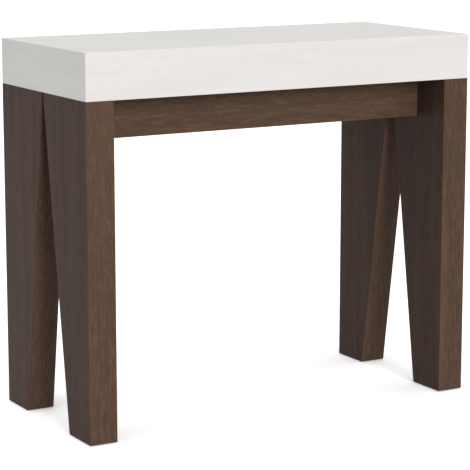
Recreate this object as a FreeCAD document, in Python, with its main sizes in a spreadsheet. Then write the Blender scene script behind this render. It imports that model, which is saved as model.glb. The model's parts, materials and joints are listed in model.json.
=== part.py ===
import FreeCAD, Part
import os
import re
import Sketcher

# An extending console table: two halves that part at mid-depth on telescopic guides.
# X runs along the table, the front faces -Y, Z is up, and the origin is on the floor under the middle.

doc = FreeCAD.newDocument("extending_console_table")
sheet = doc.addObject("Spreadsheet::Sheet", "sizes")

DRIVING_SIZES = {
    # Whole table, closed
    "overall_width": 900,
    "overall_depth": 400,
    "overall_height": 777,
    # Box top
    "box_height": 94,
    "board_thickness": 18,
    "arris": 0.8,
    "seam_gap": 0.4,
    # Legs and the glides under them
    "leg_thickness": 60,
    "leg_foot_depth": 97,
    "leg_top_setback": 2,
    "glide_head_height": 2,
    "glide_head_diameter": 22,
    "glide_shank_diameter": 8,
    "glide_shank_length": 15,
    "glide_spacing": 48,
    # Aprons and their fixings into the legs
    "apron_setback": 99,
    "apron_height": 88,
    "apron_thickness": 22,
    "dowel_diameter": 8,
    "dowel_length": 32,
    "dowel_spacing": 44,
    "cam_diameter": 15,
    "cam_height": 14.5,
    "cam_distance": 24,
    "cam_bolt_diameter": 6,
    "cam_bolt_grip": 11,
    # Leg plates in the box, with the bolts that hold the legs
    "leg_plate_width": 60,
    "leg_plate_thickness": 18,
    "leg_plate_seam_clearance": 20,
    "leg_bolt_diameter": 8,
    "leg_bolt_grip": 50,
    "leg_bolt_tail": 14,
    "leg_bolt_inset": 21,
    "leg_bolt_spacing": 90,
    "washer_diameter": 24,
    "washer_thickness": 2,
    "nut_across_flats": 13,
    "nut_height": 6.5,
    # Pins that line up the two half tops
    "seam_pin_diameter": 8,
    "seam_pin_length": 40,
    "seam_pin_spacing": 300,
    "seam_pin_play": 0.4,
    # Telescopic guides
    "guide_row_inset": 90,
    "guide_end_clearance": 4,
    "guide_top_clearance": 1,
    "guide_height": 44,
    "guide_pitch": 16,
    "guide_overlap": 96,
    "guide_web": 3,
    "guide_slip": 0.5,
    "flange_thickness": 3,
    "flange_lead": 1,
    "flange_gap": 1,
    "neck_length": 5.5,
    "neck_thickness": 4,
    "tongue_thickness": 3,
    "tongue_height": 16,
    "lip_thickness": 2,
    "channel_wall": 2.5,
    "stop_lug_reach": 3.5,
    "stop_lug_length": 6,
    "stop_lug_height": 8,
    "stop_margin": 0.5,
    # Battens that carry the guides, and their screws
    "bearer_width": 30,
    "bearer_height": 44,
    "bearer_seam_clearance": 20,
    "guide_screw_diameter": 4,
    "guide_screw_length": 25,
    "guide_screw_spacing": 55,
    "guide_screw_head_diameter": 7,
    "guide_screw_head_height": 2.2,
    "bearer_screw_diameter": 4.5,
    "bearer_screw_grip": 12,
    "bearer_screw_spacing": 100,
    "bearer_screw_head_diameter": 9,
    "bearer_screw_head_height": 3,
    # Radial room round every fixing, room at the end of a blind hole, and how far a cut runs past a face
    "fixing_clearance": 0.1,
    "bore_end_room": 1,
    "cut_overrun": 5,
}
GUIDE_COUNT = 7

for row, (size_name, size) in enumerate(DRIVING_SIZES.items(), start=1):
    sheet.set(f"A{row}", size_name)
    sheet.set(f"B{row}", str(size))
    sheet.setAlias(f"B{row}", size_name)
doc.recompute()

# Sizes that follow from the driving ones, as expressions
HALF_WIDTH = "(overall_width / 2)"
HALF_DEPTH = "(overall_depth / 2)"
HALF_SEAM = "(seam_gap / 2)"
INNER_HALF_WIDTH = f"({HALF_WIDTH} - board_thickness)"
INNER_HALF_DEPTH = f"({HALF_DEPTH} - board_thickness)"
BOX_UNDERSIDE = "(overall_height - box_height)"
PANEL_UNDERSIDE = "(overall_height - board_thickness)"
LEG_INNER_FACE = f"({HALF_WIDTH} - leg_thickness)"
APRON_MIDDLE_Y = f"(-{HALF_DEPTH} + apron_setback + apron_thickness / 2)"
APRON_MIDDLE_Z = f"({BOX_UNDERSIDE} - apron_height / 2)"
LEG_BOLT_X = f"({INNER_HALF_WIDTH} - leg_bolt_inset)"
LEG_PLATE_MIDDLE_Y = f"(-({INNER_HALF_DEPTH} + leg_plate_seam_clearance) / 2)"
LEG_PLATE_TOP = f"({BOX_UNDERSIDE} + leg_plate_thickness)"
GUIDE_LENGTH = f"(2 * ({INNER_HALF_DEPTH} - guide_end_clearance))"
GUIDE_TOP = f"({PANEL_UNDERSIDE} - guide_top_clearance)"
GUIDE_MIDDLE = f"({GUIDE_TOP} - guide_height / 2)"
GUIDE_ROW_OUTER = f"({INNER_HALF_WIDTH} - guide_row_inset)"
GUIDE_ROW_INNER = f"({GUIDE_ROW_OUTER} - {GUIDE_COUNT - 1} * guide_pitch - guide_web)"
CHANNEL_HALF = "(tongue_height / 2 + guide_slip)"
CHANNEL_OUTSIDE_HALF = f"({CHANNEL_HALF} + channel_wall)"
GUIDE_SCREW_Z = f"({GUIDE_MIDDLE} + ({CHANNEL_OUTSIDE_HALF} + guide_height / 2 - flange_thickness) / 2)"
BEARER_FAR_END = f"({INNER_HALF_DEPTH} - guide_end_clearance)"
BEARER_MIDDLE_Y = f"(-({BEARER_FAR_END} + bearer_seam_clearance) / 2)"
BEARER_UNDERSIDE = f"({PANEL_UNDERSIDE} - bearer_height)"

ALONG_X = FreeCAD.Rotation(FreeCAD.Vector(0, 1, 0), 90)
ALONG_Y = FreeCAD.Rotation(FreeCAD.Vector(1, 0, 0), -90)
ALONG_Z = FreeCAD.Rotation()
HALF_TURN = FreeCAD.Rotation(FreeCAD.Vector(0, 0, 1), 180)

nodes = []


def bound(expression):
    """An expression in the sheet's words, with each word pointed at its cell."""
    names = "|".join(DRIVING_SIZES)
    return re.sub(rf"\b({names})\b", r"sizes.\1", expression)


def number(expression):
    """What an expression is worth now, in millimetres."""
    return float(sheet.evalExpression(expression))


def bind(item, **expressions):
    """Ties an object's properties to the sheet."""
    for name, expression in expressions.items():
        item.setExpression(name, bound(expression))


def place(item, x, y, z, turn=ALONG_Z):
    """Ties an object's place to the sheet and sets which way it is turned."""
    item.Placement = FreeCAD.Placement(FreeCAD.Vector(), turn)
    for axis, expression in zip("xyz", (x, y, z)):
        item.setExpression(f"Placement.Base.{axis}", bound(expression))


def mirrored(side, near, far):
    """The low and high X of a span that lies between near and far from the middle, on one side."""
    return (near, far) if side > 0 else (f"-{far}", f"-{near}")


def at_side(side, distance):
    return f"{distance}" if side > 0 else f"-{distance}"


def block(name, x_span, y_span, z_span):
    item = doc.addObject("Part::Box", name)
    spans = (x_span, y_span, z_span)
    lengths = [f"({high}) - ({low})" for low, high in spans]
    bind(item, Length=lengths[0], Width=lengths[1], Height=lengths[2])
    place(item, *(low for low, high in spans))
    return item


def rod(name, diameter, length, x, y, z, turn):
    """A round bar from a point, along the axis that it is turned to."""
    item = doc.addObject("Part::Cylinder", name)
    bind(item, Radius=f"({diameter}) / 2", Height=length)
    place(item, x, y, z, turn)
    return item


def group(name, items):
    item = doc.addObject("Part::Compound", name)
    item.Links = items
    return item


def joined(name, items):
    item = doc.addObject("Part::MultiFuse", name)
    item.Shapes = items
    return item


def cut(name, base, tools):
    item = doc.addObject("Part::Cut", name)
    item.Base = base
    item.Tool = group(f"{name}_cutters", tools)
    return item


def node(item, label, turn=ALONG_Z):
    """Marks a finished sub-part, turned about the middle of the table where it belongs to the rear half."""
    item.Label = label
    item.Placement = FreeCAD.Placement(FreeCAD.Vector(), turn)
    nodes.append(item)


def origin_plane(body, role):
    return next(plane for plane in body.Origin.OriginFeatures if plane.Role == role)


def outline(body, name, role, points):
    """A closed sketch of straight lines on one of the body's own planes, each corner tied to the sheet."""
    sketch = body.newObject("Sketcher::SketchObject", name)
    sketch.AttachmentSupport = [(origin_plane(body, role), "")]
    sketch.MapMode = "FlatFace"
    corners = [FreeCAD.Vector(number(across), number(up), 0) for across, up in points]
    lines = [Part.LineSegment(a, b) for a, b in zip(corners, corners[1:] + corners[:1])]
    sketch.addGeometry(lines, False)
    joins = [(index, 2, (index + 1) % len(lines), 1) for index in range(len(lines))]
    sketch.addConstraint([Sketcher.Constraint("Coincident", *join) for join in joins])
    for index, (corner, point) in enumerate(zip(corners, points)):
        for kind, size, expression in zip(("DistanceX", "DistanceY"), corner, point):
            constraint = sketch.addConstraint(Sketcher.Constraint(kind, -1, 1, index, 1, size))
            sketch.setExpression(f"Constraints[{constraint}]", bound(expression))
    return sketch


def padded(body, name, sketch, length, both_ways=False):
    pad = body.newObject("PartDesign::Pad", name)
    pad.Profile = sketch
    pad.Midplane = both_ways
    bind(pad, Length=length)
    doc.recompute()
    return pad


def eased(body, name, base, wanted=lambda edge: True):
    """Takes the sharp arris off the wanted edges."""
    chamfer = body.newObject("PartDesign::Chamfer", name)
    edges = [f"Edge{index}" for index, edge in enumerate(base.Shape.Edges, start=1) if wanted(edge)]
    chamfer.Base = (base, edges)
    bind(chamfer, Size="arris")
    body.Tip = chamfer
    return chamfer


def mitred_board(name, turn, x, y, z, outer, inner):
    """A board with mitred edges. Its outer and inner faces are given as low and high, across and up."""
    item = doc.addObject("Part::Wedge", name)
    bind(item, Ymin="0", Ymax="board_thickness")
    bind(item, Xmin=outer[0], Xmax=outer[1], Zmin=outer[2], Zmax=outer[3])
    bind(item, X2min=inner[0], X2max=inner[1], Z2min=inner[2], Z2max=inner[3])
    place(item, x, y, z, turn)
    return item


def box_envelope():
    """The whole outside of the box top, with every outer edge eased. The boards are cut to it."""
    body = doc.addObject("PartDesign::Body", "box_envelope")
    low_x, low_y = f"-{HALF_WIDTH}", f"-{HALF_DEPTH}"
    corners = [(low_x, low_y), (HALF_WIDTH, low_y), (HALF_WIDTH, HALF_DEPTH), (low_x, HALF_DEPTH)]
    sketch = outline(body, "box_plan", "XY_Plane", corners)
    place(body, "0", "0", BOX_UNDERSIDE)
    pad = padded(body, "box_block", sketch, "box_height")
    eased(body, "box_arrises", pad)
    return body


def trimmed(name, board, envelope):
    item = doc.addObject("Part::Common", name)
    item.Base = board
    item.Tool = envelope
    return item


def pair_places(middle, spacing):
    return [f"({middle} + {share} * {spacing})" for share in (-0.5, 0.5)]


def row_places(middle, spacing):
    return [f"({middle} + {share} * {spacing})" for share in (-1, 0, 1)]


def bore(name, diameter, length, x, y, z, turn, clearance="fixing_clearance"):
    return rod(name, f"({diameter} + 2 * {clearance})", length, x, y, z, turn)


def box_boards(half, turn, envelope, bearer_x, pin_play):
    """The four mitred boards of one half of the box top."""
    side_names = ("left", "right") if half == "front" else ("right", "left")
    top_outer = (f"-{HALF_WIDTH}", HALF_WIDTH, f"-{HALF_DEPTH}", f"-{HALF_SEAM}")
    top_inner = (f"-{INNER_HALF_WIDTH}", INNER_HALF_WIDTH, f"-{INNER_HALF_DEPTH}", f"-{HALF_SEAM}")
    top = mitred_board(f"{half}_top_blank", ALONG_Y, "0", "0", "overall_height", top_outer, top_inner)
    cutters = []
    pin_depth = "(seam_pin_length / 2 + bore_end_room + cut_overrun)"
    for index, x in enumerate(row_places("0", "seam_pin_spacing")):
        low_y = "-(seam_pin_length / 2 + bore_end_room)"
        z = "(overall_height - board_thickness / 2)"
        name = f"{half}_pin_bore_{index}"
        cutters.append(bore(name, "seam_pin_diameter", pin_depth, x, low_y, z, ALONG_Y, pin_play))
    for side in (-1, 1):
        for index, y in enumerate(pair_places(BEARER_MIDDLE_Y, "bearer_screw_spacing")):
            x = at_side(side, bearer_x)
            length = "(bearer_screw_grip + bore_end_room + cut_overrun)"
            low_z = f"({PANEL_UNDERSIDE} - cut_overrun)"
            name = f"{half}_panel_bore_{side}_{index}"
            cutters.append(bore(name, "bearer_screw_diameter", length, x, y, low_z, ALONG_Z))
    top = cut(f"{half}_top", trimmed(f"{half}_top_trim", top, envelope), cutters)
    node(top, f"{half}_top_panel", turn)

    heights = (BOX_UNDERSIDE, "overall_height", BOX_UNDERSIDE, PANEL_UNDERSIDE)
    outer = (f"-{HALF_WIDTH}", HALF_WIDTH, *heights[:2])
    inner = (f"-{INNER_HALF_WIDTH}", INNER_HALF_WIDTH, *heights[2:])
    fascia = mitred_board(f"{half}_fascia_blank", ALONG_Z, "0", f"-{HALF_DEPTH}", "0", outer, inner)
    node(trimmed(f"{half}_fascia_board", fascia, envelope), f"{half}_fascia", turn)

    for side, side_name in zip((-1, 1), side_names):
        near, far, far_inside = HALF_SEAM, HALF_DEPTH, INNER_HALF_DEPTH
        low, high = mirrored(-side, near, far)
        low_inside, high_inside = mirrored(-side, near, far_inside)
        quarter = FreeCAD.Rotation(FreeCAD.Vector(0, 0, 1), 90 * side)
        name = f"{half}_{side_name}_cheek"
        outer = (low, high, *heights[:2])
        inner = (low_inside, high_inside, *heights[2:])
        cheek = mitred_board(f"{name}_blank", quarter, at_side(side, HALF_WIDTH), "0", "0", outer, inner)
        node(trimmed(f"{name}_board", cheek, envelope), name, turn)


def apron_end_fixings(bolt_depth):
    """Diameter, depth and height of each fixing at an apron's end: two dowels and a cam bolt."""
    dowel_heights = pair_places(APRON_MIDDLE_Z, "dowel_spacing")
    fixings = [("dowel_diameter", "(dowel_length / 2)", z) for z in dowel_heights]
    return fixings + [("cam_bolt_diameter", bolt_depth, APRON_MIDDLE_Z)]


def leg(half, side, side_name, turn):
    """A tapered leg: upright outside, raked inside, with bores for its bolts, glides and apron fixings."""
    name = f"{half}_{side_name}_leg"
    body = doc.addObject("PartDesign::Body", f"{name}_blank")
    outside = f"-{HALF_DEPTH}"
    foot_inside = f"(-{HALF_DEPTH} + leg_foot_depth)"
    corners = [
        (outside, "glide_head_height"),
        (foot_inside, "glide_head_height"),
        ("-leg_top_setback", BOX_UNDERSIDE),
        (outside, BOX_UNDERSIDE),
    ]
    sketch = outline(body, f"{name}_side", "YZ_Plane", corners)
    place(body, mirrored(side, LEG_INNER_FACE, HALF_WIDTH)[0], "0", "0")
    pad = padded(body, f"{name}_block", sketch, "leg_thickness")
    eased(body, f"{name}_arrises", pad)

    cutters = []
    x = at_side(side, LEG_BOLT_X)
    low_z = f"({BOX_UNDERSIDE} - leg_bolt_grip - bore_end_room)"
    length = "(leg_bolt_grip + bore_end_room + cut_overrun)"
    for index, y in enumerate(pair_places(LEG_PLATE_MIDDLE_Y, "leg_bolt_spacing")):
        cutters.append(bore(f"{name}_bolt_bore_{index}", "leg_bolt_diameter", length, x, y, low_z, ALONG_Z))
    x = at_side(side, f"({HALF_WIDTH} - leg_thickness / 2)")
    low_z = "(glide_head_height - cut_overrun)"
    length = "(cut_overrun + glide_shank_length + bore_end_room)"
    for index, y in enumerate(pair_places(f"(-{HALF_DEPTH} + leg_foot_depth / 2)", "glide_spacing")):
        name_of_bore = f"{name}_glide_bore_{index}"
        cutters.append(bore(name_of_bore, "glide_shank_diameter", length, x, y, low_z, ALONG_Z))
    fixings = apron_end_fixings("cam_bolt_grip")
    for index, (diameter, grip, z) in enumerate(fixings):
        near = f"({LEG_INNER_FACE} - cut_overrun)"
        far = f"({LEG_INNER_FACE} + {grip} + bore_end_room)"
        x = mirrored(side, near, far)[0]
        length = f"({far} - {near})"
        name_of_bore = f"{name}_apron_bore_{index}"
        cutters.append(bore(name_of_bore, diameter, length, x, APRON_MIDDLE_Y, z, ALONG_X))
    node(cut(f"{name}_bored", body, cutters), name, turn)


def apron(half, turn):
    """The rail between the two legs of a half, with dowel, cam bolt and cam bores at each end."""
    name = f"{half}_apron"
    body = doc.addObject("PartDesign::Body", f"{name}_blank")
    front = f"(-{HALF_DEPTH} + apron_setback)"
    back = f"({front} + apron_thickness)"
    bottom = f"({BOX_UNDERSIDE} - apron_height)"
    corners = [(front, bottom), (back, bottom), (back, BOX_UNDERSIDE), (front, BOX_UNDERSIDE)]
    sketch = outline(body, f"{name}_section", "YZ_Plane", corners)
    pad = padded(body, f"{name}_block", sketch, f"(2 * {LEG_INNER_FACE})", both_ways=True)
    eased(body, f"{name}_arrises", pad, lambda edge: edge.Length == max(e.Length for e in pad.Shape.Edges))

    cutters = []
    fixings = apron_end_fixings("cam_distance")
    for side in (-1, 1):
        for index, (diameter, grip, z) in enumerate(fixings):
            near = f"({LEG_INNER_FACE} - {grip} - bore_end_room)"
            far = f"({LEG_INNER_FACE} + cut_overrun)"
            x = mirrored(side, near, far)[0]
            name_of_bore = f"{name}_end_bore_{side}_{index}"
            length = f"({far} - {near})"
            cutters.append(bore(name_of_bore, diameter, length, x, APRON_MIDDLE_Y, z, ALONG_X))
        x = at_side(side, f"({LEG_INNER_FACE} - cam_distance)")
        low_y = f"({back} - cam_height - fixing_clearance)"
        length = "(cam_height + fixing_clearance + cut_overrun)"
        name_of_bore = f"{name}_cam_bore_{side}"
        cutters.append(bore(name_of_bore, "cam_diameter", length, x, low_y, APRON_MIDDLE_Z, ALONG_Y))
    node(cut(f"{name}_bored", body, cutters), name, turn)


def apron_fixings(half, turn):
    """Wooden dowels, cam bolts and the cams that draw the apron to its legs."""
    dowels, bolts, cams = [], [], []
    back = f"(-{HALF_DEPTH} + apron_setback + apron_thickness)"
    for side in (-1, 1):
        near = f"({LEG_INNER_FACE} - dowel_length / 2)"
        far = f"({LEG_INNER_FACE} + dowel_length / 2)"
        x = mirrored(side, near, far)[0]
        for index, z in enumerate(pair_places(APRON_MIDDLE_Z, "dowel_spacing")):
            name = f"{half}_dowel_{side}_{index}"
            dowels.append(rod(name, "dowel_diameter", "dowel_length", x, APRON_MIDDLE_Y, z, ALONG_X))
        near = f"({LEG_INNER_FACE} - cam_distance)"
        far = f"({LEG_INNER_FACE} + cam_bolt_grip)"
        x = mirrored(side, near, far)[0]
        length = "(cam_distance + cam_bolt_grip)"
        name = f"{half}_cam_bolt_{side}"
        bolts.append(rod(name, "cam_bolt_diameter", length, x, APRON_MIDDLE_Y, APRON_MIDDLE_Z, ALONG_X))
        low_y = f"({back} - cam_height)"
        x = at_side(side, near)
        name = f"{half}_cam_blank_{side}"
        blank = rod(name, "cam_diameter", "cam_height", x, low_y, APRON_MIDDLE_Z, ALONG_Y)
        near = f"({LEG_INNER_FACE} - cam_distance - bore_end_room)"
        x = mirrored(side, near, LEG_INNER_FACE)[0]
        length = "(cam_distance + bore_end_room)"
        name = f"{half}_cam_mouth_{side}"
        mouth = bore(name, "cam_bolt_diameter", length, x, APRON_MIDDLE_Y, APRON_MIDDLE_Z, ALONG_X)
        cams.append(cut(f"{half}_cam_{side}", blank, [mouth]))
    node(group(f"{half}_dowel_set", dowels), f"{half}_apron_dowels", turn)
    node(group(f"{half}_cam_bolt_set", bolts), f"{half}_apron_cam_bolts", turn)
    node(group(f"{half}_cam_set", cams), f"{half}_apron_cams", turn)


def leg_plate(half, side, side_name, turn):
    """The board inside the box, above a leg, that the leg's bolts pass through."""
    name = f"{half}_{side_name}_leg_plate"
    x_span = mirrored(side, f"({INNER_HALF_WIDTH} - leg_plate_width)", INNER_HALF_WIDTH)
    y_span = (f"-{INNER_HALF_DEPTH}", "-leg_plate_seam_clearance")
    blank = block(f"{name}_blank", x_span, y_span, (BOX_UNDERSIDE, LEG_PLATE_TOP))
    cutters = []
    for index, y in enumerate(pair_places(LEG_PLATE_MIDDLE_Y, "leg_bolt_spacing")):
        x = at_side(side, LEG_BOLT_X)
        low_z = f"({BOX_UNDERSIDE} - cut_overrun)"
        length = "(leg_plate_thickness + 2 * cut_overrun)"
        cutters.append(bore(f"{name}_bore_{index}", "leg_bolt_diameter", length, x, y, low_z, ALONG_Z))
    node(cut(f"{name}_bored", blank, cutters), name, turn)


def leg_bolts(half, turn):
    """Hanger bolts standing in the legs, with a washer and a nut on each above the leg plate."""
    bolts, washers, nuts = [], [], []
    for side in (-1, 1):
        x = at_side(side, LEG_BOLT_X)
        for index, y in enumerate(pair_places(LEG_PLATE_MIDDLE_Y, "leg_bolt_spacing")):
            tag = f"{half}_{side}_{index}"
            low_z = f"({BOX_UNDERSIDE} - leg_bolt_grip)"
            length = "(leg_bolt_grip + leg_plate_thickness + leg_bolt_tail)"
            bolts.append(rod(f"leg_bolt_{tag}", "leg_bolt_diameter", length, x, y, low_z, ALONG_Z))
            length = "(leg_plate_thickness + leg_bolt_tail)"
            hole = bore(f"washer_bore_{tag}", "leg_bolt_diameter", length, x, y, BOX_UNDERSIDE, ALONG_Z)
            sizes = ("washer_diameter", "washer_thickness")
            disc = rod(f"washer_disc_{tag}", *sizes, x, y, LEG_PLATE_TOP, ALONG_Z)
            washers.append(cut(f"washer_{tag}", disc, [hole]))
            hexagon = doc.addObject("Part::Prism", f"nut_hexagon_{tag}")
            bind(hexagon, Circumradius="nut_across_flats / sqrt(3)", Height="nut_height")
            place(hexagon, x, y, f"({LEG_PLATE_TOP} + washer_thickness)")
            hole = bore(f"nut_bore_{tag}", "leg_bolt_diameter", length, x, y, BOX_UNDERSIDE, ALONG_Z)
            nuts.append(cut(f"nut_{tag}", hexagon, [hole]))
    node(group(f"{half}_bolt_set", bolts), f"{half}_leg_bolts", turn)
    node(group(f"{half}_washer_set", washers), f"{half}_leg_washers", turn)
    node(group(f"{half}_nut_set", nuts), f"{half}_leg_nuts", turn)


def floor_glides(half, turn):
    """Plastic glides, two under each leg, each a disc on a shank."""
    glides = []
    for side in (-1, 1):
        x = at_side(side, f"({HALF_WIDTH} - leg_thickness / 2)")
        for index, y in enumerate(pair_places(f"(-{HALF_DEPTH} + leg_foot_depth / 2)", "glide_spacing")):
            tag = f"{half}_{side}_{index}"
            head = rod(f"glide_head_{tag}", "glide_head_diameter", "glide_head_height", x, y, "0", ALONG_Z)
            length = "(glide_head_height + glide_shank_length)"
            shank = rod(f"glide_shank_{tag}", "glide_shank_diameter", length, x, y, "0", ALONG_Z)
            glides.append(joined(f"glide_{tag}", [head, shank]))
    node(group(f"{half}_glide_set", glides), f"{half}_floor_glides", turn)


def guide_bearers(half, side_names, turn, near, far):
    """Battens screwed up into a half top, with the guide's fixed member screwed to their side."""
    middle_x = f"(({near} + {far}) / 2)"
    guide_screws, bearer_screws = [], []
    web_is_near = half == "rear"
    for side, side_name in zip((-1, 1), side_names):
        name = f"{half}_{side_name}_guide_bearer"
        y_span = (f"-{BEARER_FAR_END}", "-bearer_seam_clearance")
        blank = block(f"{name}_blank", mirrored(side, near, far), y_span, (BEARER_UNDERSIDE, PANEL_UNDERSIDE))
        cutters = []
        for index, y in enumerate(pair_places(BEARER_MIDDLE_Y, "bearer_screw_spacing")):
            x = at_side(side, middle_x)
            tag = f"{half}_{side}_{index}"
            low_z = f"({BEARER_UNDERSIDE} - cut_overrun)"
            length = "(bearer_height + 2 * cut_overrun)"
            cutters.append(bore(f"bearer_bore_{tag}", "bearer_screw_diameter", length, x, y, low_z, ALONG_Z))
            sizes = ("bearer_screw_diameter", "(bearer_height + bearer_screw_grip)")
            shank = rod(f"bearer_shank_{tag}", *sizes, x, y, BEARER_UNDERSIDE, ALONG_Z)
            low_z = f"({BEARER_UNDERSIDE} - bearer_screw_head_height)"
            sizes = ("bearer_screw_head_diameter", "bearer_screw_head_height")
            head = rod(f"bearer_head_{tag}", *sizes, x, y, low_z, ALONG_Z)
            bearer_screws.append(joined(f"bearer_screw_{tag}", [shank, head]))
        # The screws pass from the far face of the guide's web, through it and into the batten.
        web_face = f"({near} - guide_web)" if web_is_near else f"({far} + guide_web)"
        reach = "guide_screw_length"
        tip = f"({web_face} + {reach})" if web_is_near else f"({web_face} - {reach})"
        bore_tip = f"({tip} + bore_end_room)" if web_is_near else f"({tip} - bore_end_room)"
        crown = "guide_screw_head_height"
        crown_face = f"({web_face} - {crown})" if web_is_near else f"({web_face} + {crown})"
        shank_span = (web_face, tip) if web_is_near else (tip, web_face)
        bore_span = (web_face, bore_tip) if web_is_near else (bore_tip, web_face)
        head_span = (crown_face, web_face) if web_is_near else (web_face, crown_face)
        for index, y in enumerate(row_places(BEARER_MIDDLE_Y, "guide_screw_spacing")):
            tag = f"{half}_{side}_{index}"
            x = mirrored(side, *bore_span)[0]
            length = f"({bore_span[1]} - {bore_span[0]})"
            name_of_bore = f"batten_side_bore_{tag}"
            cutters.append(bore(name_of_bore, "guide_screw_diameter", length, x, y, GUIDE_SCREW_Z, ALONG_X))
            x = mirrored(side, *shank_span)[0]
            shank = rod(f"guide_shank_{tag}", "guide_screw_diameter", reach, x, y, GUIDE_SCREW_Z, ALONG_X)
            x = mirrored(side, *head_span)[0]
            head_size = "guide_screw_head_diameter"
            head = rod(f"guide_head_{tag}", head_size, crown, x, y, GUIDE_SCREW_Z, ALONG_X)
            guide_screws.append(joined(f"guide_screw_{tag}", [shank, head]))
        node(cut(f"{name}_bored", blank, cutters), name, turn)
    node(group(f"{half}_guide_screw_set", guide_screws), f"{half}_guide_screws", turn)
    node(group(f"{half}_bearer_screw_set", bearer_screws), f"{half}_bearer_screws", turn)


def guide_section(side, has_channel, has_tongue):
    """Corners of a guide's section, across and up from the outer foot of its web."""
    top, middle = "guide_height", "(guide_height / 2)"
    foot, web = "flange_thickness", "guide_web"
    under_top = f"({top} - {foot})"
    lead = f"({web} + flange_lead)" if has_tongue else web
    trail = f"({web} + flange_lead - guide_pitch + flange_gap)" if has_channel else "0"
    neck, tongue = f"({web} + neck_length)", f"({web} + neck_length + tongue_thickness)"
    lip_inside = f"({neck} - guide_pitch - guide_slip)"
    lip_outside = f"({lip_inside} - lip_thickness)"
    slot_half = "(neck_thickness / 2 + guide_slip)"

    def half_of_tongue(sign):
        edge = [f"({middle} + {sign} * {reach} / 2)" for reach in ("neck_thickness", "tongue_height")]
        return [(web, edge[0]), (neck, edge[0]), (neck, edge[1]), (tongue, edge[1])]

    def half_of_channel(sign):
        reaches = (CHANNEL_OUTSIDE_HALF, slot_half, CHANNEL_HALF)
        outside, slot, inside = (f"({middle} + {sign} * {reach})" for reach in reaches)
        lip = [(lip_outside, outside), (lip_outside, slot), (lip_inside, slot), (lip_inside, inside)]
        return [("0", outside), *lip, ("0", inside)]

    corners = [(trail, "0"), (lead, "0")]
    if has_tongue:
        corners += [(lead, foot), (web, foot)]
        corners += half_of_tongue(-1) + half_of_tongue(1)[::-1]
        corners += [(web, under_top), (lead, under_top)]
    corners += [(lead, top), (trail, top)]
    if has_channel:
        corners += [(trail, under_top), ("0", under_top)]
        corners += half_of_channel(1) + half_of_channel(-1)[::-1]
        corners += [("0", foot), (trail, foot)]
    return [(across if side < 0 else f"-{across}", up) for across, up in corners]


def stop_lug(body, name, side, x_span, low_y):
    """A small stop that ends a stage's travel."""
    lug = body.newObject("PartDesign::AdditiveBox", name)
    low, high = x_span if side < 0 else (f"-{x_span[1]}", f"-{x_span[0]}")
    bind(lug, Length=f"{high} - ({low})", Width="stop_lug_length", Height="stop_lug_height")
    place(lug, low, low_y, "(guide_height - stop_lug_height) / 2")
    body.Tip = lug


def guide(side, side_name, index):
    """One member of a telescopic guide. Its tongue runs in the channel of the next member inwards."""
    first, last = index == 0, index == GUIDE_COUNT - 1
    name = f"{side_name}_guide_{index + 1}"
    body = doc.addObject("PartDesign::Body", f"{name}_body")
    section = guide_section(side, has_channel=not first, has_tongue=not last)
    sketch = outline(body, f"{name}_section", "XZ_Plane", section)
    padded(body, f"{name}_extrusion", sketch, GUIDE_LENGTH, both_ways=True)
    lug_inset = "((guide_overlap - stop_margin) / 2 - stop_lug_length)"
    if not last:
        tongue = "(guide_web + neck_length + tongue_thickness)"
        x_span = (tongue, f"({tongue} + stop_lug_reach)")
        stop_lug(body, f"{name}_tongue_stop", side, x_span, f"(-{GUIDE_LENGTH} / 2 + {lug_inset})")
    if not first:
        low_y = f"({GUIDE_LENGTH} / 2 - {lug_inset} - stop_lug_length)"
        stop_lug(body, f"{name}_channel_stop", side, ("(-stop_lug_reach)", "0"), low_y)
    x = at_side(side, f"({GUIDE_ROW_OUTER} - {index} * guide_pitch)")
    z = f"({GUIDE_TOP} - guide_height)"
    place(body, x, "0", z)
    if not (first or last):
        body.Label = name
        nodes.append(body)
        return
    cutters = []
    middle_y = f"(-{BEARER_MIDDLE_Y})" if first else BEARER_MIDDLE_Y
    for hole, y in enumerate(row_places(middle_y, "guide_screw_spacing")):
        far = f"({GUIDE_ROW_OUTER} - {index} * guide_pitch + cut_overrun)"
        near = f"({far} - guide_web - 2 * cut_overrun)"
        hole_x = mirrored(side, near, far)[0]
        length = "(guide_web + 2 * cut_overrun)"
        name_of_bore = f"{name}_bore_{hole}"
        cutters.append(bore(name_of_bore, "guide_screw_diameter", length, hole_x, y, GUIDE_SCREW_Z, ALONG_X))
    node(cut(f"{name}_bored", body, cutters), name)


def seam_pins():
    """Pins in the front top panel that enter the rear one as the table closes."""
    pins = []
    for index, x in enumerate(row_places("0", "seam_pin_spacing")):
        z = "(overall_height - board_thickness / 2)"
        sizes = ("seam_pin_diameter", "seam_pin_length")
        pins.append(rod(f"seam_pin_{index}", *sizes, x, "-seam_pin_length / 2", z, ALONG_Y))
    node(group("seam_pin_set", pins), "seam_pins")


def half_table(half, envelope):
    """Everything in one half. The rear half is the front one turned round, with its own bearers."""
    turn = ALONG_Z if half == "front" else HALF_TURN
    side_names = ("left", "right") if half == "front" else ("right", "left")
    inner_bearer = (f"({GUIDE_ROW_INNER} - bearer_width)", GUIDE_ROW_INNER)
    outer_bearer = (GUIDE_ROW_OUTER, f"({GUIDE_ROW_OUTER} + bearer_width)")
    near, far = inner_bearer if half == "front" else outer_bearer
    pin_play = "fixing_clearance" if half == "front" else "seam_pin_play"
    box_boards(half, turn, envelope, f"(({near} + {far}) / 2)", pin_play)
    for side, side_name in zip((-1, 1), side_names):
        leg(half, side, side_name, turn)
        leg_plate(half, side, side_name, turn)
    apron(half, turn)
    apron_fixings(half, turn)
    leg_bolts(half, turn)
    floor_glides(half, turn)
    guide_bearers(half, side_names, turn, near, far)


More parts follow.
